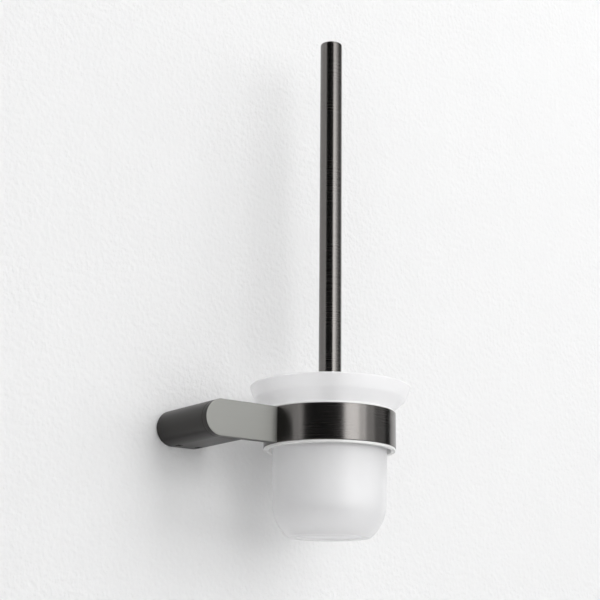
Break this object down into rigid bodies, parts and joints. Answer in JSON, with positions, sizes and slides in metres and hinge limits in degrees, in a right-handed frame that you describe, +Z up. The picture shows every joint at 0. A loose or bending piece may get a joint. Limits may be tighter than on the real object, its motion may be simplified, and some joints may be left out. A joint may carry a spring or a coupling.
{
  "type": "toilet brush holder",
  "caption": "Wall-mounted toilet brush holder: obround post and flat arm carry a ring, which holds a frosted glass cup with a long-handled brush.",
  "frame": {"origin": "centre of the post's wall face, in the plane of the wall", "axes": "+Z up, +X along the wall from the post towards the ring, +Y into the wall"},
  "size_m": [0.1589, 0.1434, 0.3644],
  "materials": {
    "gunmetal": "satin",
    "gunmetal_handle": "satin",
    "bright_steel": "satin",
    "black_steel": "satin",
    "cast_zinc": "matte",
    "white_liner": "satin",
    "frosted_glass": "matte",
    "white_plastic": "satin",
    "white_bristles": "satin",
    "black_rubber": "matte"
  },
  "bodies": {
    "holder": {"post_shell": "gunmetal", "arm_plate": "gunmetal", "arm_screws": "bright_steel", "support_ring": "gunmetal", "wall_bracket": "cast_zinc", "wall_screws": "bright_steel", "grub_screws": "black_steel"},
    "seat": {"ring_liner": "white_liner"},
    "cup": {"glass_cup": "frosted_glass"},
    "brush_head": {"brush_core": "white_plastic", "bristle_crown": "white_bristles", "bristle_row_1": "white_bristles", "bristle_row_2": "white_bristles", "bristle_row_3": "white_bristles", "bristle_row_4": "white_bristles", "bristle_row_5": "white_bristles", "bristle_row_6": "white_bristles"},
    "washer": {"seal_washer": "black_rubber"},
    "handle": {"handle_tube": "gunmetal_handle", "handle_end_cap": "gunmetal_handle", "handle_bush": "bright_steel", "handle_stud": "bright_steel"}
  },
  "joints": [
    {"name": "cup_turn", "type": "hinge", "parent": "holder", "child": "seat", "pos_m": [0.082, -0.0615, 0], "axis": [0, 0, 1], "continuous": true},
    {"name": "cup_lift", "type": "slide", "parent": "seat", "child": "cup", "axis": [0, 0, 1], "range_m": [0, 0.12]},
    {"name": "brush_lift", "type": "slide", "parent": "cup", "child": "brush_head", "axis": [0, 0, 1], "range_m": [0, 0.15]},
    {"name": "thread_turn", "type": "hinge", "parent": "brush_head", "child": "washer", "pos_m": [0.082, -0.0615, 0], "axis": [0, 0, 1], "range_deg": [0, 2880]},
    {"name": "thread_rise", "type": "slide", "parent": "washer", "child": "handle", "axis": [0, 0, 1], "range_m": [0, 0.0101]}
  ],
  "couplings": [
    {"joint": "thread_rise", "follows": "thread_turn", "m_per_rad": 0.00019894}
  ]
}
